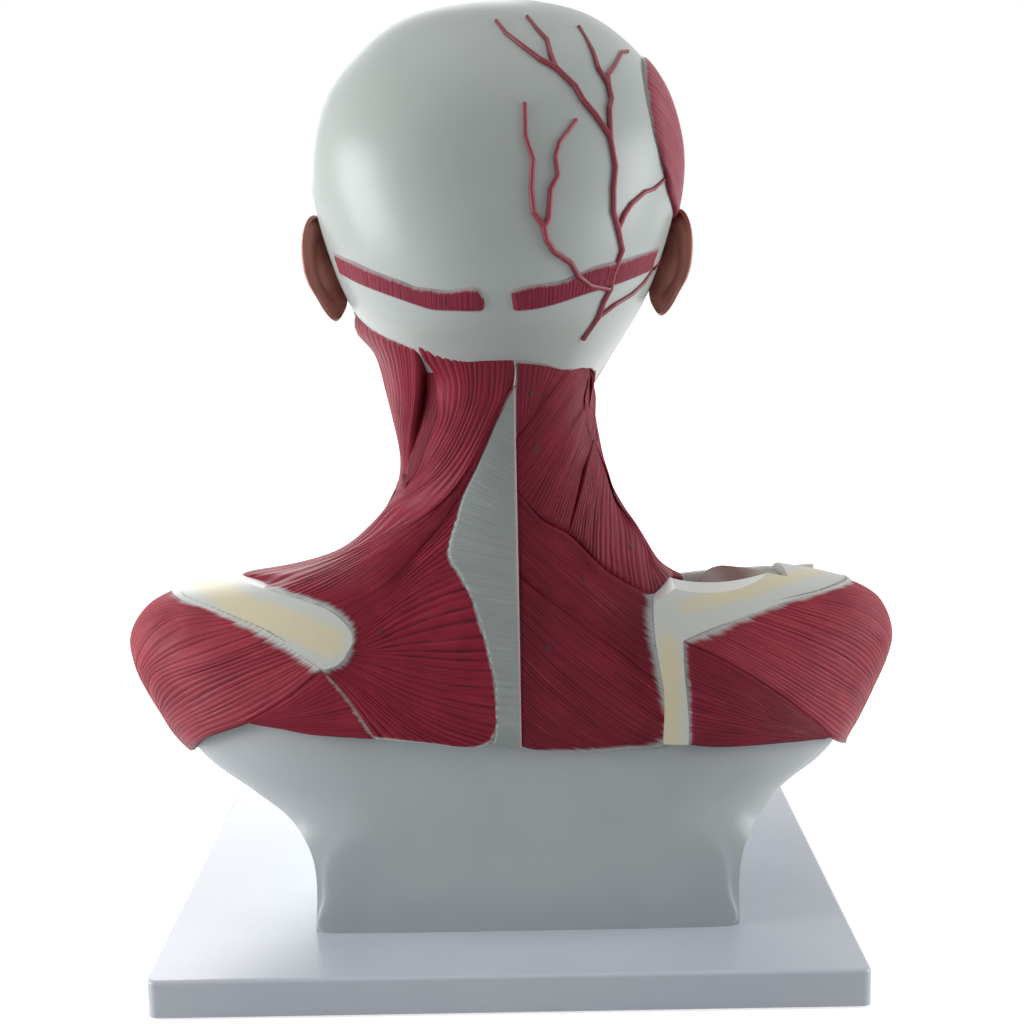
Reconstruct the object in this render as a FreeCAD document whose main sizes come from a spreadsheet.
import FreeCAD, Part
import math
import os
from FreeCAD import Placement, Rotation, Vector

# Anatomical model of the neck muscles: a life-size bust on a moulded board.
# The left side shows the superficial muscles and the right side the deep ones.
# Axes: +Z up, the face looks along -Y, the back of the neck along +Y, and the
# model's own left is +X. The origin is under the middle of the whole model, on the ground.

os.makedirs("parts", exist_ok=True)
doc = FreeCAD.newDocument("NeckMuscleModel")

# Driving sizes in millimetres
SIZES = {
    "board_width": 300.0,
    "board_depth": 240.0,
    "board_height": 16.0,
    "board_wall": 3.0,
    "board_corner_round": 4.0,
    "board_edge_round": 1.8,
    "rib_thickness": 2.0,
    "rib_depth": 9.0,
    "rib_place_share": 0.25,
    "foot_diameter": 20.0,
    "foot_height": 3.0,
    "foot_proud": 1.0,
    "foot_edge_distance": 26.0,
    "foot_boss_diameter": 26.0,
    "screw_diameter": 5.0,
    "screw_clearance": 0.5,
    "screw_head_diameter": 9.0,
    "screw_head_height": 3.5,
    "screw_slot_width": 1.2,
    "screw_slot_depth": 1.5,
    "screw_slot_share": 0.6,
    "screw_grip": 16.0,
    "screw_spacing_x": 80.0,
    "screw_spacing_y": 36.0,
    "screw_boss_diameter": 17.0,
    "screw_boss_height": 11.0,
    "screw_recess_diameter": 12.0,
    "washer_diameter": 11.0,
    "washer_thickness": 1.0,
    "block_width": 110.0,
    "block_depth": 64.0,
    "block_height": 22.0,
    "block_edge_round": 2.0,
    "block_middle_y": 12.0,
    "board_shift_x": 3.07,
    "bust_shift_x": -3.43,
    "bust_height": 405.0,
    "shoulder_half": 180.0,
    "chest_half": 80.0,
    "shell_wall": 3.5,
    "head_half": 82.0,
    "head_shift": 7.0,
    "head_reach": 100.0,
    "head_wall": 4.0,
    "face_thickness": 28.0,
    "scalp_muscle": 1.4,
    "temple_muscle": 2.4,
    "artery_radius": 1.2,
    "artery_tip_radius": 0.8,
    "clavicle_radius": 6.5,
    "windpipe_radius": 9.0,
    "carotid_radius": 3.6,
    "jugular_radius": 5.0,
    "hyoid_radius": 3.0,
    "ear_height": 50.0,
    "ear_width": 34.0,
    "ear_shell": 5.5,
    "hole_overrun": 2.0,
    "cut_overrun": 120.0,
}
sheet = doc.addObject("Spreadsheet::Sheet", "Sizes")
for row, (name, value) in enumerate(SIZES.items(), start=1):
    sheet.set("A%d" % row, name)
    sheet.set("B%d" % row, str(value))
    sheet.setAlias("B%d" % row, name)
doc.recompute()


def size(name):
    """A driving size, read from the sheet."""
    return float(sheet.get(name))


subparts = []


def keep(item, label):
    """Name a finished sub-part, so that it is checked and written."""
    item.Label = label
    subparts.append(item)
    return item


def solid(kind, name, rules):
    """A solid of the document whose sizes and place follow expressions."""
    item = doc.addObject(kind, name)
    for prop, rule in rules.items():
        item.setExpression(prop, rule)
    return item


def drum(name, diameter, height, x="0", y="0", base="0"):
    """An upright cylinder."""
    return solid("Part::Cylinder", name, {
        "Radius": "(%s) / 2" % diameter,
        "Height": height,
        "Placement.Base.x": x,
        "Placement.Base.y": y,
        "Placement.Base.z": base,
    })


def slab(name, width, depth, height, y="0", base="0"):
    """A box centred on the board's middle, or shifted along Y."""
    return solid("Part::Box", name, {
        "Length": width,
        "Width": depth,
        "Height": height,
        "Placement.Base.x": "Sizes.board_shift_x - (%s) / 2" % width,
        "Placement.Base.y": "(%s) - (%s) / 2" % (y, depth),
        "Placement.Base.z": base,
    })


def joined(name, items):
    item = doc.addObject("Part::MultiFuse", name)
    item.Shapes = items
    return item


def cut(name, base, tool):
    item = doc.addObject("Part::Cut", name)
    item.Base = base
    item.Tool = tool
    return item


def rounded(name, base, radius, chosen):
    """Fillet the edges that a test chooses."""
    doc.recompute()
    item = doc.addObject("Part::Fillet", name)
    item.Base = base
    item.Edges = [(k + 1, radius, radius) for k, edge in enumerate(base.Shape.Edges) if chosen(edge)]
    return item


def upright(edge):
    first, last = edge.Vertexes[0].Point, edge.Vertexes[-1].Point
    return abs(last.z - first.z) > edge.Length / 2


def level_at(height, slack):
    """A test for the edges that lie at one height."""
    return lambda edge: abs(edge.BoundBox.ZMin - height) < slack and abs(edge.BoundBox.ZMax - height) < slack


CORNERS = [(1, 1), (-1, 1), (-1, -1), (1, -1)]
BOARD_TOP = size("foot_proud") + size("board_height")
slack = size("board_wall") / 10

# Moulded board: a tray turned upside down, with ribs and bosses under its top
block = slab("BoardBlock", "Sizes.board_width", "Sizes.board_depth", "Sizes.board_height",
             base="Sizes.foot_proud")
shell = rounded("BoardCorners", block, size("board_corner_round"), upright)
shell = rounded("BoardEdge", shell, size("board_edge_round"), level_at(BOARD_TOP, slack))
hollow = slab("BoardHollow", "Sizes.board_width - 2 * Sizes.board_wall",
              "Sizes.board_depth - 2 * Sizes.board_wall",
              "Sizes.board_height - Sizes.board_wall", base="Sizes.foot_proud")
tray = cut("BoardTray", shell, hollow)
rib_base = "Sizes.foot_proud + Sizes.board_height - Sizes.board_wall - Sizes.rib_depth"
stiffeners = []
for k, side in enumerate((-1, 1)):
    place = "%d * Sizes.rib_place_share" % side
    along = slab("RibAlong%d" % k, "Sizes.board_width - 2 * Sizes.board_wall", "Sizes.rib_thickness",
                 "Sizes.rib_depth", "Sizes.board_depth * %s" % place, rib_base)
    across = slab("RibAcross%d" % k, "Sizes.rib_thickness", "Sizes.board_depth - 2 * Sizes.board_wall",
                  "Sizes.rib_depth", base=rib_base)
    across.setExpression("Placement.Base.x",
                         "Sizes.board_shift_x + Sizes.board_width * %s - Sizes.rib_thickness / 2" % place)
    stiffeners += [along, across]
screw_bosses, screw_recesses, screw_holes = [], [], []
foot_bosses, foot_recesses, feet = [], [], []
screws, heads, slots, washers, block_holes, floor_holes = [], [], [], [], [], []
boss_base = "Sizes.foot_proud + Sizes.board_height - Sizes.board_wall - Sizes.screw_boss_height"
seat = boss_base + " + Sizes.screw_boss_height - Sizes.board_wall"
under_head = seat + " - Sizes.washer_thickness"
head_base = under_head + " - Sizes.screw_head_height"
shank_length = "Sizes.washer_thickness + 2 * Sizes.board_wall + Sizes.shell_wall + Sizes.screw_grip"
shank_hole = "Sizes.screw_diameter + Sizes.screw_clearance"
block_base = "Sizes.foot_proud + Sizes.board_height + Sizes.shell_wall"
floor_hole_base = "Sizes.foot_proud + Sizes.board_height - Sizes.hole_overrun"
slot_sides = ("Sizes.screw_head_diameter * Sizes.screw_slot_share", "Sizes.screw_slot_width")
for k, (side_x, side_y) in enumerate(CORNERS):
    x = "Sizes.bust_shift_x + %d * Sizes.screw_spacing_x / 2" % side_x
    y = "Sizes.block_middle_y + %d * Sizes.screw_spacing_y / 2" % side_y
    screw_bosses.append(drum("ScrewBoss%d" % k, "Sizes.screw_boss_diameter", "Sizes.screw_boss_height",
                             x, y, boss_base))
    screw_recesses.append(drum("ScrewRecess%d" % k, "Sizes.screw_recess_diameter",
                               "Sizes.screw_boss_height - Sizes.board_wall", x, y, boss_base))
    screw_holes.append(drum("ScrewHole%d" % k, shank_hole, "Sizes.board_height", x, y, "Sizes.foot_proud"))
    foot_x = "Sizes.board_shift_x + %d * (Sizes.board_width / 2 - Sizes.foot_edge_distance)" % side_x
    foot_y = "%d * (Sizes.board_depth / 2 - Sizes.foot_edge_distance)" % side_y
    foot_bosses.append(drum("FootBoss%d" % k, "Sizes.foot_boss_diameter",
                            "Sizes.board_height - Sizes.board_wall", foot_x, foot_y, "Sizes.foot_proud"))
    foot_recesses.append(drum("FootRecess%d" % k, "Sizes.foot_diameter", "Sizes.foot_height", foot_x, foot_y))
    feet.append(drum("Foot%d" % k, "Sizes.foot_diameter", "Sizes.foot_height", foot_x, foot_y))
    screws.append(drum("Shank%d" % k, "Sizes.screw_diameter", shank_length, x, y, under_head))
    heads.append(drum("Head%d" % k, "Sizes.screw_head_diameter", "Sizes.screw_head_height", x, y, head_base))
    for turn, (length, width) in enumerate((slot_sides, slot_sides[::-1])):
        slot = slab("Slot%d%d" % (k, turn), length, width, "Sizes.screw_slot_depth", y, head_base)
        slot.setExpression("Placement.Base.x", "%s - %s / 2" % (x, length))
        slots.append(slot)
    washer = drum("WasherDisc%d" % k, "Sizes.washer_diameter", "Sizes.washer_thickness", x, y, under_head)
    bore = drum("WasherBore%d" % k, shank_hole, "Sizes.washer_thickness", x, y, under_head)
    washers.append(cut("Washer%d" % k, washer, bore))
    block_holes.append(drum("BlockHole%d" % k, "Sizes.screw_diameter", "Sizes.screw_grip", x, y, block_base))
    floor_holes.append(drum("FloorHole%d" % k, shank_hole, "Sizes.shell_wall + 2 * Sizes.hole_overrun", x, y,
                            floor_hole_base))
body = joined("BoardBody", [tray] + stiffeners + screw_bosses + foot_bosses)
keep(cut("BoardDone", body, joined("BoardCuts", screw_recesses + screw_holes + foot_recesses)), "base_board")


def group(name, items):
    """Like pieces that stay separate solids in one node."""
    item = doc.addObject("Part::Compound", name)
    item.Links = items
    return item


keep(group("Feet", feet), "base_feet")
whole_screws = []
for k in range(len(CORNERS)):
    whole_screws.append(cut("Screw%d" % k, joined("ScrewBlank%d" % k, [screws[k], heads[k]]),
                            joined("ScrewCross%d" % k, slots[2 * k:2 * k + 2])))
keep(group("Screws", whole_screws), "base_screws")
keep(group("Washers", washers), "base_washers")

# Wooden block inside the foot of the bust, which the screws pull on to the board
timber = slab("Timber", "Sizes.block_width", "Sizes.block_depth", "Sizes.block_height",
              "Sizes.block_middle_y", block_base)
timber.setExpression("Placement.Base.x", "Sizes.bust_shift_x - Sizes.block_width / 2")
timber = rounded("TimberEdges", timber, size("block_edge_round"), upright)
keep(cut("BlockDone", timber, joined("BlockCuts", block_holes)), "mounting_block")
doc.recompute()

# The bust is built round its own upright axis, from the board's top face
HEIGHT = size("bust_height")
HALF = size("shoulder_half")
CHEST = size("chest_half")
HEAD = size("head_half")
REACH = size("head_reach")
RING_POINTS = 24


def spread(angle, power):
    """Cosine and sine of a rounded rectangle, whose corners sharpen with the power."""
    across, along = math.cos(angle), math.sin(angle)
    return (math.copysign(abs(across) ** (2 / power), across),
            math.copysign(abs(along) ** (2 / power), along))


def ring(shares, wide, deep, shift=0.0, wall=0.0, lower=0.0, level=False):
    """One closed section. Its side, rear and front have heights of their own, unless it is level."""
    offset, half, side_z, side_y, rear_y, rear_z, front_y, front_z, power = shares
    points = []
    for k in range(RING_POINTS):
        across, along = spread(2 * math.pi * k / RING_POINTS, power)
        end_y, end_z = (rear_y, rear_z) if along >= 0 else (front_y, front_z)
        full_reach = abs(end_y - side_y) * deep
        reach = full_reach - wall
        climb = 0 if level else (end_z - side_z) * HEIGHT * reach / full_reach
        points.append(Vector(shift + offset * wide + across * (half * wide - wall),
                             side_y * deep + along * reach,
                             side_z * HEIGHT + abs(along) * climb - lower))
    curve = Part.BSplineCurve()
    curve.interpolate(Points=points, PeriodicFlag=True,
                      Parameters=[float(k) for k in range(RING_POINTS + 1)])
    return Part.Wire(curve.toShape())


def lofted(wires, tip=None):
    """A closed smooth solid through sections, which may end in a point."""
    stack = list(wires)
    if tip is not None:
        stack.append(Part.Vertex(tip))
    return Part.makeLoft(stack, True, False)


def envelope(table, **options):
    return lofted([ring(row, HALF, CHEST, **options) for row in table])


# Sections: shares of the shoulder half width, the bust height and the chest half depth, as
# middle x, half width, side z, side y, rear y, rear z, front y, front z, then the corners' power
plain_body_shares = [
    (-0.009, 0.6, 0, 0.062, 0.938, 0, -0.625, 0, 8),
    (-0.009, 0.6, 0.027, 0.062, 0.938, 0.027, -0.625, 0.027, 8),
    (-0.008, 0.606, 0.059, 0.075, 0.938, 0.062, -0.65, 0.059, 7),
    (-0.006, 0.622, 0.086, 0.087, 0.938, 0.099, -0.7, 0.091, 5),
    (0, 0.661, 0.109, 0.1, 0.938, 0.138, -0.75, 0.126, 3.4),
    (0.006, 0.75, 0.133, 0.113, 0.931, 0.175, -0.775, 0.165, 2.9),
    (0.011, 0.833, 0.168, 0.113, 0.912, 0.212, -0.75, 0.202, 2.5),
    (0.017, 0.883, 0.21, 0.113, 0.881, 0.247, -0.7, 0.232, 2.3),
    (0.019, 0.908, 0.254, 0.113, 0.838, 0.279, -0.625, 0.257, 2.2),
    (0.019, 0.889, 0.291, 0.1, 0.781, 0.306, -0.575, 0.279, 2.1),
    (0.019, 0.8, 0.314, 0.1, 0.713, 0.328, -0.525, 0.299, 2),
    (0.019, 0.656, 0.323, 0.075, 0.65, 0.348, -0.5, 0.319, 1.9),
    (0.019, 0.5, 0.33, 0.05, 0.588, 0.365, -0.475, 0.338, 1.9),
    (0.022, 0.367, 0.343, 0.025, 0.544, 0.383, -0.463, 0.358, 1.9),
    (0.025, 0.272, 0.373, 0, 0.5, 0.405, -0.456, 0.383, 2),
    (0.031, 0.222, 0.412, 0, 0.463, 0.432, -0.463, 0.412, 2.1),
    (0.036, 0.2, 0.457, 0, 0.444, 0.467, -0.475, 0.449, 2.1),
    (0.039, 0.189, 0.504, 0, 0.456, 0.506, -0.5, 0.494, 2.1),
    (0.039, 0.192, 0.551, 0, 0.5, 0.551, -0.537, 0.551, 2.1),
    (0.039, 0.211, 0.595, 0, 0.575, 0.595, -0.575, 0.595, 2.1),
    (0.039, 0.244, 0.662, 0, 0.65, 0.662, -0.6, 0.662, 2.1),
]
deep_layer_shares = [
    (-0.006, 0.622, 0.091, 0.1, 0.969, 0.091, -0.731, 0.091, 4.5),
    (0, 0.689, 0.111, 0.113, 0.972, 0.141, -0.775, 0.128, 3.4),
    (0.006, 0.775, 0.136, 0.125, 0.969, 0.178, -0.8, 0.168, 2.9),
    (0.011, 0.856, 0.173, 0.125, 0.95, 0.215, -0.781, 0.207, 2.6),
    (0.017, 0.903, 0.215, 0.125, 0.919, 0.249, -0.738, 0.237, 2.4),
    (0.019, 0.931, 0.257, 0.125, 0.878, 0.281, -0.662, 0.262, 2.25),
    (0.019, 0.914, 0.295, 0.113, 0.825, 0.31, -0.613, 0.285, 2.15),
    (0.019, 0.822, 0.32, 0.113, 0.762, 0.333, -0.569, 0.306, 2),
    (0.019, 0.672, 0.331, 0.087, 0.7, 0.353, -0.544, 0.326, 1.9),
    (0.019, 0.522, 0.341, 0.062, 0.637, 0.373, -0.525, 0.346, 1.9),
    (0.022, 0.411, 0.362, 0.037, 0.594, 0.393, -0.512, 0.368, 2),
    (0.025, 0.367, 0.39, 0.013, 0.556, 0.415, -0.506, 0.395, 2),
    (0.031, 0.333, 0.419, 0, 0.525, 0.44, -0.506, 0.422, 2),
    (0.033, 0.297, 0.444, 0, 0.506, 0.462, -0.512, 0.449, 2.1),
    (0.036, 0.267, 0.484, 0, 0.506, 0.489, -0.531, 0.481, 2.1),
    (0.039, 0.253, 0.521, 0, 0.531, 0.523, -0.556, 0.521, 2.1),
    (0.039, 0.242, 0.558, 0, 0.575, 0.558, -0.581, 0.558, 2.1),
    (0.039, 0.25, 0.593, 0, 0.637, 0.593, -0.606, 0.593, 2.1),
    (0.039, 0.269, 0.627, 0, 0.694, 0.627, -0.625, 0.627, 2.1),
    (0.039, 0.292, 0.665, 0, 0.744, 0.665, -0.637, 0.665, 2.1),
]
outer_layer_shares = [
    (-0.006, 0.633, 0.091, 0.1, 0.994, 0.091, -0.75, 0.091, 4.5),
    (0, 0.7, 0.111, 0.113, 1, 0.141, -0.8, 0.128, 3.4),
    (0.006, 0.783, 0.136, 0.125, 1, 0.178, -0.831, 0.168, 2.9),
    (0.011, 0.867, 0.173, 0.125, 0.985, 0.215, -0.819, 0.207, 2.6),
    (0.017, 0.922, 0.215, 0.125, 0.956, 0.249, -0.781, 0.237, 2.4),
    (0.019, 0.964, 0.254, 0.125, 0.919, 0.281, -0.719, 0.264, 2.3),
    (0.019, 0.981, 0.296, 0.125, 0.875, 0.309, -0.662, 0.289, 2.2),
    (0.019, 0.942, 0.331, 0.113, 0.825, 0.331, -0.625, 0.311, 2.1),
    (0.019, 0.839, 0.354, 0.1, 0.775, 0.353, -0.6, 0.331, 2),
    (0.019, 0.689, 0.367, 0.075, 0.719, 0.373, -0.588, 0.351, 1.9),
    (0.019, 0.539, 0.377, 0.05, 0.662, 0.393, -0.575, 0.37, 1.9),
    (0.022, 0.428, 0.393, 0.025, 0.619, 0.412, -0.562, 0.393, 2),
    (0.028, 0.344, 0.421, 0.013, 0.581, 0.435, -0.556, 0.42, 2.1),
    (0.033, 0.283, 0.452, 0, 0.556, 0.462, -0.562, 0.449, 2.1),
    (0.036, 0.261, 0.489, 0, 0.55, 0.494, -0.581, 0.484, 2.1),
    (0.039, 0.269, 0.528, 0, 0.575, 0.531, -0.6, 0.523, 2.1),
    (0.039, 0.286, 0.565, 0, 0.625, 0.565, -0.625, 0.565, 2.1),
    (0.039, 0.303, 0.6, 0, 0.688, 0.6, -0.65, 0.6, 2.1),
    (0.039, 0.333, 0.632, 0, 0.75, 0.632, -0.662, 0.632, 2.1),
    (0.039, 0.389, 0.674, 0, 0.825, 0.674, -0.675, 0.674, 2.1),
]
# Sections of the head, as shares of the head's half width, its reach and the bust height
head_shares = [
    (0, 0.463, 0.568, 0.08, 0.58, 0.615, -0.92, 0.474, 2),
    (0, 0.537, 0.59, 0.07, 0.64, 0.63, -0.97, 0.491, 2.05),
    (0, 0.622, 0.612, 0.06, 0.7, 0.647, -0.995, 0.523, 2.1),
    (0, 0.72, 0.64, 0.06, 0.76, 0.669, -1.01, 0.563, 2.1),
    (0, 0.823, 0.674, 0.06, 0.805, 0.699, -1.015, 0.605, 2.1),
    (0, 0.902, 0.716, 0.07, 0.83, 0.731, -1, 0.662, 2.1),
    (0, 0.963, 0.763, 0.09, 0.83, 0.773, -1.025, 0.733, 2.1),
    (0, 0.994, 0.812, 0.11, 0.805, 0.82, -1.035, 0.8, 2.1),
    (0, 0.97, 0.859, 0.1, 0.755, 0.864, -0.985, 0.857, 2.05),
    (0, 0.902, 0.901, 0.08, 0.66, 0.906, -0.88, 0.909, 2),
    (0, 0.774, 0.938, 0.05, 0.53, 0.943, -0.72, 0.948, 2),
    (0, 0.598, 0.97, 0, 0.36, 0.973, -0.52, 0.978, 2),
    (0, 0.354, 0.991, -0.06, 0.15, 0.993, -0.31, 0.995, 2),
]
crown_y_share = -0.08

bust_place = Placement(Vector(size("bust_shift_x"), 0, BOARD_TOP), Rotation())


def add(label, shape):
    """Set a free form's shape, and move it from the bust's axis to the board."""
    item = doc.addObject("Part::Feature", "".join(word.title() for word in label.split("_")))
    item.Shape = shape
    item.Placement = bust_place
    return keep(item, label)


# Outlines are drawn on the XZ plane as runs of points: two points make a straight edge, more
# make one smooth curve, and runs meet at corners. Each run goes on from the run before it.

def outline(runs, place):
    """A flat face inside runs of points. A first run of one point is the start."""
    start = last = place(*runs[0][-1])
    edges = []
    for run in runs[1:]:
        points = [last] + [place(*point) for point in run]
        if len(points) == 2:
            edges.append(Part.makeLine(points[0], points[1]))
        else:
            curve = Part.BSplineCurve()
            curve.interpolate(points)
            edges.append(curve.toShape())
        last = points[-1]
    if not last.isEqual(start, slack):
        edges.append(Part.makeLine(last, start))
    return Part.Face(Part.Wire(edges))


def on_bust(x_share, z_share):
    return Vector(x_share * HALF, 0, z_share * HEIGHT)


def on_head(x_share, z_share):
    return Vector(size("head_shift") + x_share * HEAD, 0, z_share * HEIGHT)


def beside_head(y_share, z_share):
    return Vector(0, y_share * REACH, z_share * HEIGHT)


OVERRUN = size("cut_overrun")


def prism(runs, start_y=0.0, towards=1, place=on_bust, end_y=None):
    """An outline carried back from a depth, or forward with towards -1, clear of the body."""
    face = outline(runs, place)
    face.translate(Vector(0, start_y, 0))
    reach = OVERRUN * towards if end_y is None else end_y - start_y
    return face.extrude(Vector(0, reach, 0))


def mirrored_runs(runs):
    return [[(-x, z) for x, z in run] for run in runs]


def largest(shape):
    """The main solid of a cut, without the chips beside it."""
    return max(shape.Solids, key=lambda piece: piece.Volume)


def tube(points, radii, ruled=False):
    """A tube with a circle at each point, square to the path there and not twisted."""
    wires = []
    for k, point in enumerate(points):
        along = points[min(k + 1, len(points) - 1)] - points[max(k - 1, 0)]
        wire = Part.Wire(Part.makeCircle(radii[k]))
        wire.Placement = Placement(point, Rotation(Vector(1, 0, 0), Vector(0, 1, 0), along, "ZYX"))
        wires.append(wire)
    return Part.makeLoft(wires, True, ruled)


def egg(centre, half_x, half_y, half_z, turn=0.0):
    """A ball stretched along three axes, then turned about the vertical."""
    ball = Part.makeSphere(1.0)
    scale = FreeCAD.Matrix()
    scale.scale(half_x, half_y, half_z)
    ball = ball.transformGeometry(scale)
    ball.rotate(Vector(), Vector(0, 0, 1), turn)
    ball.translate(centre)
    return ball


# Forms that the pieces are cut from
head_shift = size("head_shift")
crown = Vector(head_shift, crown_y_share * REACH, HEIGHT)


def head_loft(grow=0.0):
    rows = [ring(row, HEAD, REACH, shift=head_shift, wall=-grow) for row in head_shares]
    return lofted(rows, crown + Vector(0, 0, grow))


def hollow_head():
    """The room inside the head: its sections draw in by the wall at every side."""
    wall = size("head_wall")
    low, high = head_shares[0][2], head_shares[-1][2]
    rows = []
    for row in head_shares:
        climb = (row[2] - low) / (high - low)
        rows.append(ring(row, HEAD, REACH, shift=head_shift, wall=wall, lower=wall * (2 * climb - 1)))
    return lofted(rows, crown - Vector(0, 0, wall))


def hollow_bust():
    """The room inside the bust: it starts above the floor and sinks under the shoulders."""
    wall = size("shell_wall")
    rows = []
    for row in plain_body_shares[:-3]:
        sink = min(shoulder_sink_share * row[2] - 1, most_sink_share)
        rows.append(ring(row, HALF, CHEST, wall=wall, lower=wall * sink, level=row is plain_body_shares[-4]))
    return lofted(rows)


shoulder_sink_share = 6.0
most_sink_share = 1.4
bone_rise_share = 0.008
head_form = head_loft()
core_form = envelope(plain_body_shares)
deep_form = envelope(deep_layer_shares)
outer_form = envelope(outer_layer_shares)
bone_form = envelope(outer_layer_shares, wall=-bone_rise_share * HALF)
outer_skin = outer_form.cut(core_form).cut(head_form)
deep_skin = deep_form.cut(core_form).cut(head_form)
bone_skin = bone_form.cut(core_form).cut(head_form)

# Bust: a moulded hollow body, open into nothing, with holes in its floor for the screws. Its foot
# has sharp upright corners, where the sides are trimmed.
foot_side_left = [[(1.111, -0.022)], [(0.506, -0.022)],
                  [(0.504, 0.027), (0.503, 0.059), (0.514, 0.086), (0.544, 0.106), (0.594, 0.122),
                  (0.667, 0.133), (0.778, 0.143)], [(1.111, 0.151)]]
foot_side_right = [[(-1.111, -0.022)], [(-0.524, -0.022)],
                   [(-0.527, 0.027), (-0.529, 0.059), (-0.542, 0.086), (-0.569, 0.104), (-0.611, 0.117),
                   (-0.678, 0.13), (-0.778, 0.141)],
                   [(-1.111, 0.151)]]
foot_sides = [prism(runs, -OVERRUN, end_y=OVERRUN) for runs in (foot_side_left, foot_side_right)]
bust_room = hollow_bust()
for side, foot_side in zip((1, -1), foot_sides):
    inner_side = foot_side.copy()
    inner_side.translate(Vector(-side * size("shell_wall"), 0, size("shell_wall")))
    bust_room = bust_room.cut(inner_side)
floor_tools = []
for hole in floor_holes:
    tool = hole.Shape.copy()
    tool.translate(-bust_place.Base)
    floor_tools.append(tool)
bust = core_form.cut(foot_sides + [head_form]).cut(bust_room).cut(floor_tools)
add("bust_body", bust)

pieces = {}


def muscle(label, skin, prisms, tools=()):
    """A muscle: the part of a layer inside its outline, cut by the pieces already there."""
    form = prisms[0] if len(prisms) == 1 else prisms[0].fuse(list(prisms[1:]))
    shape = skin.common(form)
    if tools:
        shape = shape.cut([pieces[name] for name in tools])
    pieces[label] = largest(shape)
    add(label, pieces[label])


# Depths at which a piece that wraps round the side turns from its rear to its front outline
neck_side_y = 0.0
shoulder_side_y = 0.1 * CHEST
trapezius_front_y = -0.175 * CHEST
fossa_y = 0.36 * CHEST
breast_y = 0.0

# Collar bones: tubes that run from the breastbone over the shoulders
clavicle_path_shares = [(0.067, -0.662, 0.281), (0.222, -0.65, 0.299), (0.389, -0.588, 0.314),
                        (0.556, -0.475, 0.326), (0.694, -0.325, 0.333), (0.794, -0.263, 0.336)]
clavicle_girth_shares = (1.15, 0.95, 0.85, 0.85, 0.95, 1.0)
for side, label in ((1, "clavicle_left"), (-1, "clavicle_right")):
    path = [Vector(side * x * HALF, y * CHEST, z * HEIGHT) for x, y, z in clavicle_path_shares]
    bar = tube(path, [share * size("clavicle_radius") for share in clavicle_girth_shares])
    pieces[label] = largest(bar.cut(core_form))
    add(label, pieces[label])

# Left side: the superficial muscles
spine_tip_run = [(0.444, 0.294), (0.422, 0.301), (0.411, 0.309)]
spine_upper_run = [(0.4, 0.323), (0.422, 0.338), (0.472, 0.351)]
spine_crest_run = [(0.539, 0.358), (0.606, 0.363), (0.717, 0.367)]
spine_lower_run = [(0.728, 0.341), (0.628, 0.328), (0.561, 0.314), (0.5, 0.299), (0.472, 0.291)]
spine_left = [[(0.411, 0.309)], spine_upper_run, spine_crest_run, [(0.833, 0.368)], [(0.833, 0.402)],
              [(0.978, 0.402)],
              [(0.922, 0.353)], [(0.839, 0.348)], spine_lower_run, spine_tip_run]
muscle("scapular_spine_left", bone_skin, [prism(spine_left, trapezius_front_y)])

nape_edge_run = [(0.039, 0.551), (0.067, 0.523), (0.094, 0.496), (0.128, 0.467), (0.144, 0.442),
                 (0.167, 0.405)]
back_edge_run = [(0.133, 0.38), (0.1, 0.351), (0.083, 0.328), (0.067, 0.299), (0.056, 0.277),
                 (0.056, 0.227), (0.061, 0.215)]
nape_front_run = [(0.25, 0.486), (0.2, 0.538), (0.189, 0.551), (0.172, 0.585), (0.183, 0.605), (0.206, 0.62)]
lower_corner_run = [(0.406, 0.257), (0.467, 0.286)]
trapezius = [[(0.002, 0.616)], [(0.002, 0.583)], nape_edge_run, back_edge_run, [(0.106, 0.21),
             (0.228, 0.215), (0.35, 0.22)],
             lower_corner_run, [(0.472, 0.291)], spine_tip_run, spine_upper_run, spine_crest_run,
             [(0.833, 0.368)],
             [(0.833, 0.469)], [(0.278, 0.469)], nape_front_run, [(0.211, 0.631)], [(0.183, 0.63),
             (0.128, 0.625), (0.056, 0.62), (0.002, 0.616)]]
trapezius_shoulder = [[(0.411, 0.309)], spine_upper_run, spine_crest_run, [(0.833, 0.368)],
                      [(0.833, 0.427)], [(0.367, 0.427)],
                      [(0.367, 0.309)]]
muscle("trapezius_left", outer_skin,
       [prism(trapezius, neck_side_y), prism(trapezius_shoulder, trapezius_front_y, end_y=neck_side_y)])
aponeurosis = [[(0.002, 0.583)], nape_edge_run, back_edge_run, [(0.002, 0.209)]]
muscle("trapezius_aponeurosis", outer_skin, [prism(aponeurosis)])

mastoid_edge_run = [(0.272, 0.486), (0.261, 0.514), (0.256, 0.536), (0.244, 0.565), (0.233, 0.595),
                    (0.233, 0.62)]
neck_cord_rear = [[(0.278, 0.469)], mastoid_edge_run, [(0.233, 0.633)], [(0.267, 0.637), (0.311, 0.644),
                  (0.367, 0.657)], [(0.611, 0.657)],
                  [(0.611, 0.469)]]
neck_cord_front = [[(0.611, 0.657)], [(0.367, 0.657)], [(0.317, 0.605), (0.278, 0.546), (0.211, 0.472),
                   (0.133, 0.39), (0.067, 0.333), (0.028, 0.304)],
                   [(0.111, 0.306), (0.2, 0.316)], [(0.211, 0.341), (0.239, 0.378), (0.272, 0.427),
                   (0.311, 0.469)], [(0.611, 0.469)]]
muscle("sternocleidomastoid_left", outer_skin,
       [prism(neck_cord_rear, neck_side_y), prism(neck_cord_front, neck_side_y, -1)])
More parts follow.
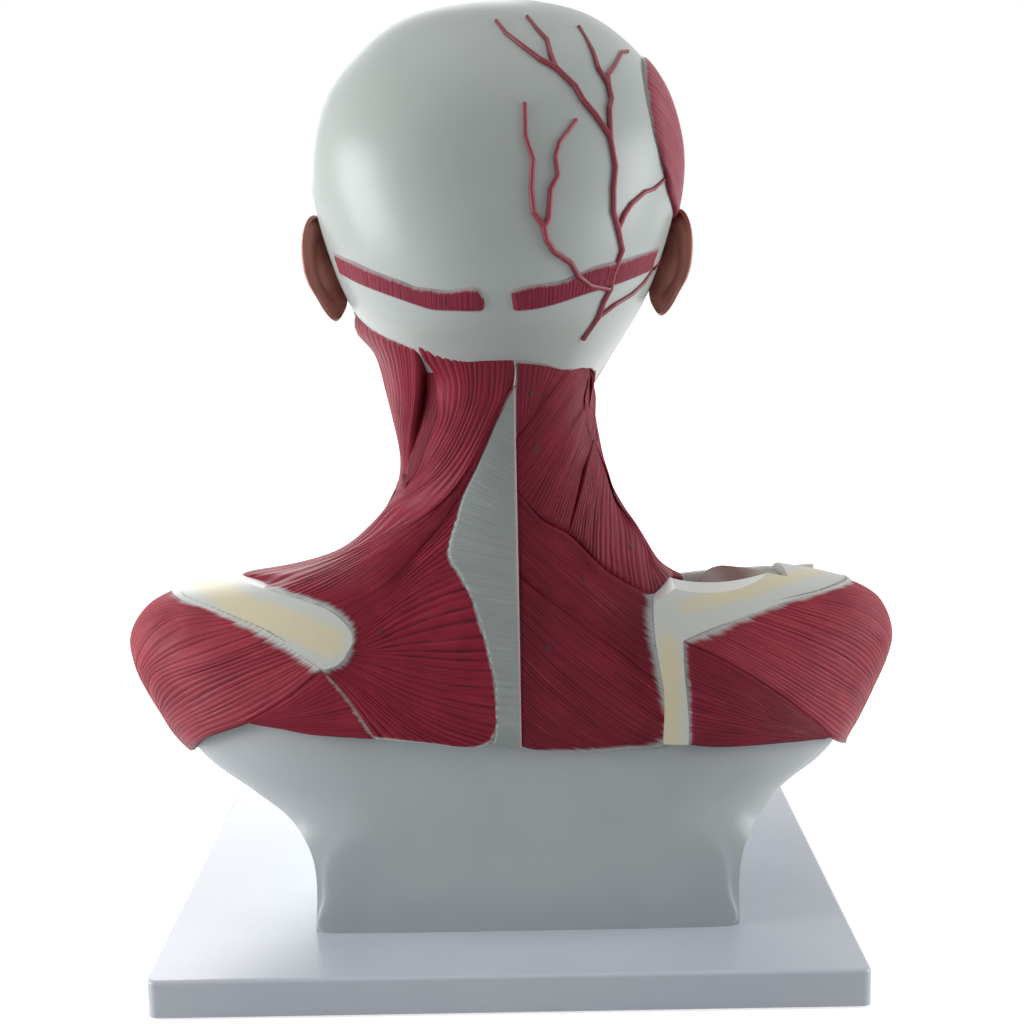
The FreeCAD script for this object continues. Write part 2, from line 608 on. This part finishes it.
splenius_gap = [[(0.278, 0.469)], mastoid_edge_run, [(0.233, 0.633)], [(0.211, 0.631)], [(0.206, 0.62)],
                [(0.183, 0.605), (0.172, 0.585), (0.189, 0.551), (0.2, 0.538), (0.25, 0.486), (0.278, 0.469)]]
muscle("splenius_left", deep_skin, [prism(splenius_gap)])
scalene_neck = [[(0.311, 0.469)], [(0.272, 0.427), (0.239, 0.378), (0.211, 0.341), (0.2, 0.316)],
                [(0.367, 0.331)], [(0.367, 0.469)]]
scalene_shoulder = [[(0.367, 0.331)], [(0.556, 0.346)], [(0.556, 0.427)], [(0.367, 0.427)]]
muscle("scalene_left", deep_skin,
       [prism(scalene_neck, neck_side_y, -1), prism(scalene_shoulder, trapezius_front_y, -1)])

deltoid_edge_run = [(0.561, 0.259), (0.667, 0.23)]
breast_edge_run = [(0.6, 0.274), (0.644, 0.225), (0.667, 0.19)]
deltoid_front = [[(1.278, 0.427)], [(0.922, 0.353)], [(0.839, 0.348)], [(0.811, 0.321), (0.694, 0.316),
                 (0.556, 0.309)], breast_edge_run,
                 [(0.778, 0.175), (0.861, 0.156)], [(1.278, 0.106)]]
deltoid_left = [[(0.472, 0.291)], deltoid_edge_run, [(0.783, 0.205), (0.85, 0.165)], [(1.278, 0.106)],
                [(1.278, 0.427)],
                [(0.922, 0.353)], [(0.839, 0.348)], spine_lower_run]
muscle("deltoid_left", outer_skin,
       [prism(deltoid_left, shoulder_side_y), prism(deltoid_front, shoulder_side_y, -1)], ["clavicle_left"])
infraspinatus_left = [[(0.472, 0.291)], deltoid_edge_run, [(0.578, 0.226), (0.5, 0.222), (0.35, 0.22)],
                      lower_corner_run]
muscle("infraspinatus_left", outer_skin, [prism(infraspinatus_left)])

# Right side: the deep muscles, and the bare shoulder blade
border_upper_run = [(-0.328, 0.336), (-0.333, 0.299), (-0.344, 0.267)]
border_lower_run = [(-0.347, 0.247), (-0.344, 0.227), (-0.342, 0.209)]
border_outer_run = [(-0.4, 0.247), (-0.394, 0.286), (-0.394, 0.314)]
blade_spine_run = [(-0.478, 0.326), (-0.544, 0.333), (-0.644, 0.343), (-0.717, 0.347), (-0.817, 0.349)]
scapula = [[(-0.333, 0.353)], border_upper_run, border_lower_run, [(-0.4, 0.207)], border_outer_run,
           blade_spine_run,
           [(-0.922, 0.353)], [(-0.922, 0.39)], [(-0.633, 0.39)], [(-0.633, 0.368)],
           [(-0.589, 0.363), (-0.517, 0.358), (-0.461, 0.358), (-0.417, 0.36), (-0.383, 0.364)]]
acromion = [[(-0.678, 0.345)], [(-0.678, 0.39)], [(-0.922, 0.39)], [(-0.922, 0.353)], [(-0.817, 0.349)],
            [(-0.717, 0.347)]]
muscle("scapula_right", bone_skin,
       [prism(scapula, fossa_y), prism(acromion, trapezius_front_y, end_y=fossa_y)])
supraspinatus = [[(-0.467, 0.304)], [(-0.478, 0.348), (-0.506, 0.363), (-0.556, 0.368)], [(-0.678, 0.373)],
                 [(-0.678, 0.304)]]
muscle("supraspinatus_right", outer_skin,
       [prism(supraspinatus, trapezius_front_y, end_y=fossa_y)])
infraspinatus_edge_run = [(-0.506, 0.289), (-0.633, 0.249), (-0.778, 0.19)]
deltoid_right = [[(-0.394, 0.314)], infraspinatus_edge_run, [(-0.85, 0.16)], [(-1.278, 0.106)],
                 [(-1.278, 0.427)],
                 [(-0.922, 0.353)], [(-0.817, 0.349)], [(-0.717, 0.347), (-0.644, 0.343), (-0.544, 0.333),
                 (-0.478, 0.326), (-0.394, 0.314)]]
muscle("deltoid_right", outer_skin,
       [prism(deltoid_right, shoulder_side_y), prism(mirrored_runs(deltoid_front), shoulder_side_y, -1)],
       ["scapula_right", "supraspinatus_right", "clavicle_right"])
infraspinatus_right = [[(-0.394, 0.314)], infraspinatus_edge_run, [(-0.667, 0.198), (-0.567, 0.2),
                       (-0.472, 0.202), (-0.4, 0.207)],
                       border_outer_run]
muscle("infraspinatus_right", outer_skin, [prism(infraspinatus_right)])

rhomboid_top_run = [(-0.061, 0.437), (-0.128, 0.422)]
levator_foot_run = [(-0.228, 0.378), (-0.333, 0.353)]
rhomboid_minor = [[(-0.002, 0.469)], rhomboid_top_run, levator_foot_run, border_upper_run,
                  [(-0.217, 0.311), (-0.106, 0.346), (-0.002, 0.38)]]
muscle("rhomboid_minor_right", deep_skin, [prism(rhomboid_minor)])
rhomboid_major = [[(-0.002, 0.38)], [(-0.106, 0.346), (-0.217, 0.311), (-0.344, 0.267)], border_lower_run,
                  [(-0.283, 0.204), (-0.194, 0.2), (-0.072, 0.201), (-0.002, 0.205)]]
muscle("rhomboid_major_right", deep_skin, [prism(rhomboid_major)])
semispinalis = [[(-0.002, 0.616)], [(-0.061, 0.617), (-0.122, 0.617), (-0.172, 0.619)], [(-0.083, 0.573)],
                [(-0.002, 0.526)]]
muscle("semispinalis_right", deep_skin, [prism(semispinalis)])
splenius_right = [[(-0.172, 0.619)], [(-0.083, 0.573)], [(-0.002, 0.526)], [(-0.002, 0.469)],
                  rhomboid_top_run,
                  [(-0.15, 0.464), (-0.183, 0.514), (-0.211, 0.568)], [(-0.611, 0.568)], [(-0.611, 0.622)],
                  [(-0.217, 0.622)]]
muscle("splenius_right", deep_skin, [prism(splenius_right, neck_side_y)])
levator = [[(-0.211, 0.568)], [(-0.183, 0.514), (-0.15, 0.464), (-0.128, 0.422)], levator_foot_run,
           [(-0.383, 0.364)], [(-0.422, 0.373)],
           [(-0.611, 0.452)], [(-0.611, 0.568)]]
muscle("levator_scapulae_right", deep_skin, [prism(levator, neck_side_y)])
scalene_right = [[(-0.133, 0.575)], [(-0.122, 0.489), (-0.133, 0.402), (-0.167, 0.319)], [(-0.333, 0.331)],
                 [(-0.444, 0.343)], [(-0.444, 0.39)],
                 [(-0.611, 0.452)], [(-0.611, 0.637)], [(-0.222, 0.637)]]
muscle("scalene_right", deep_skin, [prism(scalene_right, neck_side_y, -1)])

# Chest: the breast muscles and the top of the breastbone
pectoral = [[(0.05, 0.257)], [(0.222, 0.279), (0.389, 0.294), (0.556, 0.309)], breast_edge_run,
            [(0.5, 0.188), (0.278, 0.19), (0.05, 0.193)]]
muscle("pectoralis_left", outer_skin, [prism(pectoral, breast_y, -1)])
muscle("pectoralis_right", outer_skin, [prism(mirrored_runs(pectoral), breast_y, -1)])
manubrium = [[(-0.05, 0.269)], [(-0.022, 0.264), (0.022, 0.264), (0.05, 0.269)], [(0.05, 0.193)],
             [(-0.05, 0.193)]]
muscle("manubrium", outer_skin, [prism(manubrium, breast_y, -1)])

# Front of the neck: windpipe, voice box and tongue bone, with the gland and the vessels beside them
def on_neck(points):
    return [Vector(x * HALF, y * CHEST, z * HEIGHT) for x, y, z in points]


def neck_piece(label, form, tools):
    """A piece that lies on the neck's core, cut by what it rests against."""
    pieces[label] = largest(form.cut([core_form] + [pieces[name] for name in tools]))
    add(label, pieces[label])


def neck_tube(label, path_shares, radius, tools):
    """A pipe or bar of one thickness that lies on the neck's core."""
    path = on_neck(path_shares)
    neck_piece(label, tube(path, [radius] * len(path)), tools)


windpipe = size("windpipe_radius")
trachea_path_shares = [(0.019, -0.5, 0.289), (0.022, -0.487, 0.323), (0.025, -0.475, 0.358),
                       (0.028, -0.475, 0.383)]
neck_tube("trachea", trachea_path_shares, windpipe, ["sternocleidomastoid_left"])
larynx_shares = [(0.028, -0.475, 0.38), (0.031, -0.487, 0.412), (0.033, -0.512, 0.437),
                 (0.036, -0.475, 0.454)]
larynx_girth_shares = (1.15, 1.7, 1.75, 1.3)
larynx_depth_share = 0.92
larynx_rings = []
for middle, girth_share in zip(on_neck(larynx_shares), larynx_girth_shares):
    girth = girth_share * windpipe
    hoop = Part.Ellipse(middle, girth, girth * larynx_depth_share)
    larynx_rings.append(Part.Wire(hoop.toShape()))
neck_piece("larynx", lofted(larynx_rings), ["trachea"])
hyoid_path_shares = [(0.144, -0.45, 0.479), (0.106, -0.625, 0.474), (0.039, -0.7, 0.472),
                     (-0.028, -0.625, 0.474), (-0.067, -0.45, 0.479)]
neck_tube("hyoid", hyoid_path_shares, size("hyoid_radius"), ["larynx"])

# Gland: two lobes and a bridge. Their half sizes are shares of the windpipe's radius
lobe_place_shares = [(0.088, -0.49, 0.395), (-0.047, -0.49, 0.395)]
lobe_half_shares = (0.75, 0.8, 1.7)
bridge_place_shares = [(0.02, -0.575, 0.375)]
bridge_half_shares = (1.3, 0.5, 0.75)
lobes = [egg(place,
         *[share * windpipe for share in lobe_half_shares]) for place in on_neck(lobe_place_shares)]
bridge = egg(on_neck(bridge_place_shares)[0], *[share * windpipe for share in bridge_half_shares])
neck_piece("thyroid_gland", bridge.fuse(lobes), ["trachea", "larynx", "sternocleidomastoid_left"])
carotid_path_shares = [(-0.094, -0.45, 0.304), (-0.117, -0.475, 0.358), (-0.122, -0.5, 0.415),
                       (-0.139, -0.5, 0.464), (-0.144, -0.45, 0.516)]
neck_tube("carotid_artery_right", carotid_path_shares, size("carotid_radius"),
          ["thyroid_gland", "larynx", "scalene_right"])
jugular_path_shares = [(-0.144, -0.45, 0.319), (-0.167, -0.463, 0.365), (-0.178, -0.45, 0.427),
                       (-0.183, -0.412, 0.477), (-0.183, -0.338, 0.521)]
neck_tube("jugular_vein_right", jugular_path_shares, size("jugular_radius"),
          ["carotid_artery_right", "scalene_right", "clavicle_right"])

# Head: a hollow skull cap, and a face moulded as a separate mask

def side_prism(runs, start_x, end_x):
    """An outline on the YZ plane, carried across the head."""
    face = outline(runs, beside_head)
    face.translate(Vector(start_x, 0, 0))
    return face.extrude(Vector(end_x - start_x, 0, 0))


face_side = [[(-0.12, 0.427)], [(-0.12, 0.588)], [(-0.14, 0.662), (-0.24, 0.748), (-0.42, 0.827),
             (-0.66, 0.896), (-0.9, 0.931)],
             [(-1.6, 0.931)], [(-1.6, 0.427)]]
face_block = side_prism(face_side, -OVERRUN, OVERRUN)
head_room = hollow_head()
pieces["cranium"] = largest(head_form.cut([face_block, head_room]))
add("cranium", pieces["cranium"])


# The face's own plan: the eyes half way up the head, the nose and the mouth a third apart below.
# Eggs: middle x, y and z, then half sizes, as shares of the head's half width, reach and height
socket_shares = (0.39, -1.0, 0.733, 0.2, 0.11, 0.025)
eyeball_shares = (0.39, -0.815, 0.731, 0.175, 0.125, 0.029)
brow_shares = (0.4, -0.9, 0.769, 0.3, 0.08, 0.017)
brow_turn = 12
mouth_shares = [(0, -0.985, 0.574, 0.29, 0.07, 0.0095), (0, -0.975, 0.554, 0.25, 0.07, 0.011)]
chin_shares = (0, -0.915, 0.504, 0.25, 0.11, 0.028)
# Nose sections from its bridge down: half width, half depth and height, then the line they lie on
nose_shares = [(0.06, 0.08, 0.748), (0.085, 0.13, 0.709), (0.125, 0.2, 0.669), (0.2, 0.25, 0.642),
               (0.17, 0.19, 0.62)]
nose_line_share = -0.945


def on_face(x_share, y_share, z_share):
    """A point of the face, from the head's own middle."""
    return Vector(head_shift + x_share * HEAD, y_share * REACH, z_share * HEIGHT)


def face_egg(shares, side=1, turn=0):
    """An egg of the face, on its left with side 1 and on its right with side -1."""
    x, y, z, half_x, half_y, half_z = shares
    return egg(on_face(side * x, y, z), half_x * HEAD, half_y * REACH, half_z * HEIGHT, side * turn)


sockets = [face_egg(socket_shares, side) for side in (1, -1)]
features = []
for side in (1, -1):
    features += [face_egg(eyeball_shares, side), face_egg(brow_shares, side, brow_turn)]
nose_rings = []
for half_share, reach_share, level_share in nose_shares:
    half, reach = half_share * HEAD, reach_share * REACH
    hoop = Part.Ellipse(Vector(), max(half, reach), min(half, reach))
    wire = Part.Wire(hoop.toShape())
    if reach > half:
        wire.rotate(Vector(), Vector(0, 0, 1), 90)
    wire.translate(on_face(0, nose_line_share, level_share))
    nose_rings.append(wire)
features.append(lofted(nose_rings))
features += [face_egg(shares) for shares in mouth_shares + [chin_shares]]
face_room = head_room.copy()
face_room.translate(Vector(0, size("face_thickness"), 0))
mask = head_form.common(face_block).cut(face_room).cut(sockets)
for feature in features:
    mask = mask.fuse(feature)
pieces["face_mask"] = largest(mask)
add("face_mask", pieces["face_mask"])

# Ears: shells that flare back from the side of the head, each with a bowl
ear_turn = 28
ear_place_shares = (0.94, 0.1, 0.713)
bowl_half_shares = (0.8, 0.55, 0.55)
ear_halves = (size("ear_shell"), size("ear_width") / 2, size("ear_height") / 2)
bowl_halves = [share * half for share, half in zip(bowl_half_shares, ear_halves)]
for side, label in ((1, "ear_left"), (-1, "ear_right")):
    x, y, z = ear_place_shares
    middle = on_face(side * x, y, z)
    turn = math.radians(ear_turn)
    outward = Vector(side * math.cos(turn), -math.sin(turn), 0)
    shell = egg(middle, *ear_halves, -side * ear_turn)
    bowl = egg(middle + outward * ear_halves[0], *bowl_halves, -side * ear_turn)
    pieces[label] = largest(shell.cut([bowl, head_form]))
    add(label, pieces[label])

# Muscles of the scalp: a thin belly at each side of the back of the head, and the temple muscle
scalp_skin = head_loft(size("scalp_muscle")).cut(head_form)
belly_left = [[(0.866, 0.726)], [(0.61, 0.706), (0.415, 0.691), (0.244, 0.686), (0.11, 0.689)],
              [(0.061, 0.679)], [(0.073, 0.667)],
              [(0.329, 0.669), (0.488, 0.679), (0.732, 0.696), (0.841, 0.706)]]
belly_right = [[(-0.866, 0.726)], [(-0.659, 0.714), (-0.476, 0.706), (-0.329, 0.694), (-0.195, 0.691),
               (-0.085, 0.686)], [(-0.098, 0.667)],
               [(-0.232, 0.669), (-0.415, 0.679), (-0.598, 0.689), (-0.841, 0.704)]]
scalp_y = 0.1 * REACH
for label, runs in (("occipital_belly_left", belly_left), ("occipital_belly_right", belly_right)):
    pieces[label] = largest(scalp_skin.common(prism(runs, scalp_y, place=on_head)))
    add(label, pieces[label])
temple_skin = head_loft(size("temple_muscle")).cut(head_form)
temple = [[(0.1, 0.931)], [(0.25, 0.923), (0.36, 0.906), (0.44, 0.881), (0.485, 0.852), (0.49, 0.822),
          (0.46, 0.8), (0.38, 0.78), (0.26, 0.765)],
          [(0.05, 0.753), (-0.2, 0.746), (-0.44, 0.753)], [(-0.58, 0.783), (-0.63, 0.822), (-0.58, 0.867),
          (-0.42, 0.906), (-0.15, 0.928), (0.1, 0.931)]]
temple_inner_share = -0.3
temple_prism = side_prism(temple, -OVERRUN, head_shift + temple_inner_share * HEAD)
pieces["temporalis_right"] = largest(temple_skin.common(temple_prism).cut(pieces["ear_right"]))
add("temporalis_right", pieces["temporalis_right"])

# Artery of the scalp: a forked relief that climbs the right side of the back of the head
fork_low, fork_left, fork_side, fork_high = (-0.585, 0.686), (-0.244, 0.751), (-0.622, 0.748), (-0.585, 0.84)
fork_crown, fork_temple = (-0.317, 0.911), (-0.585, 0.894)
artery_branches = [
    [(-0.451, 0.635), (-0.524, 0.657), (-0.549, 0.672), fork_low],
    [(-0.524, 0.657), (-0.61, 0.669), (-0.707, 0.679), (-0.78, 0.691), (-0.829, 0.704), (-0.878, 0.711)],
    [fork_low, (-0.476, 0.691), (-0.415, 0.701), (-0.378, 0.714), (-0.293, 0.726), (-0.256, 0.738),
    fork_left],
    [fork_left, (-0.195, 0.765), (-0.183, 0.788), (-0.195, 0.817), (-0.159, 0.84), (-0.159, 0.874)],
    [fork_left, (-0.268, 0.76), (-0.28, 0.788), (-0.317, 0.802), (-0.305, 0.82), (-0.329, 0.835),
    (-0.415, 0.857)],
    [fork_low, (-0.598, 0.701), (-0.646, 0.726), fork_side],
    [fork_side, (-0.598, 0.765), (-0.598, 0.788), (-0.61, 0.81), fork_high],
    [fork_side, (-0.659, 0.763), (-0.695, 0.773), (-0.768, 0.785), (-0.817, 0.788), (-0.878, 0.798)],
    [fork_high, (-0.512, 0.862), (-0.451, 0.877), (-0.415, 0.891), fork_crown],
    [fork_crown, (-0.244, 0.919), (-0.159, 0.933), (-0.073, 0.948), (-0.024, 0.963)],
    [fork_crown, (-0.293, 0.926), (-0.28, 0.941), (-0.232, 0.953), (-0.183, 0.968)],
    [fork_high, (-0.585, 0.869), (-0.598, 0.879), fork_temple],
    [fork_temple, (-0.537, 0.911), (-0.512, 0.931), (-0.451, 0.958)],
    [fork_temple, (-0.585, 0.904), (-0.622, 0.914), (-0.671, 0.931), (-0.707, 0.933)],
]
trunk_branches = (0, 2, 5, 6, 8, 11)
artery_proud_share = 0.7
artery_knot_share = 1.1


def on_scalp(x_share, z_share, proud):
    """The point of the back of the head behind a place on the XZ plane."""
    start = on_head(x_share, z_share)
    hits = head_form.common(Part.makeLine(start, start + Vector(0, OVERRUN, 0)))
    back = max(vertex.Point.y for vertex in hits.Vertexes)
    return Vector(start.x, back + proud, start.z)


artery = None
for k, branch in enumerate(artery_branches):
    thick = size("artery_radius")
    thin = thick if k in trunk_branches else size("artery_tip_radius")
    radii = [thick + (thin - thick) * j / (len(branch) - 1) for j in range(len(branch))]
    path = [on_scalp(x, z, artery_proud_share * radius) for (x, z), radius in zip(branch, radii)]
    twig = tube(path, radii, ruled=True)
    knot = Part.makeSphere(artery_knot_share * thick, path[0])
    artery = twig.fuse(knot) if artery is None else artery.fuse([twig, knot])
artery = artery.cut([head_form, pieces["occipital_belly_right"], pieces["temporalis_right"]])
pieces["occipital_artery"] = largest(artery)
add("occipital_artery", pieces["occipital_artery"])

# Every object has to build, and every sub-part has to be a sound shape, before any is written
doc.recompute()
for item in doc.Objects:
    if "Invalid" in item.State or "Error" in item.State:
        raise RuntimeError("%s did not build" % item.Name)
for item in subparts:
    if item.Shape.isNull() or not item.Shape.isValid():
        raise RuntimeError("%s is not a sound shape" % item.Label)
for item in subparts:
    item.Shape.exportStep("parts/%s.step" % item.Label)
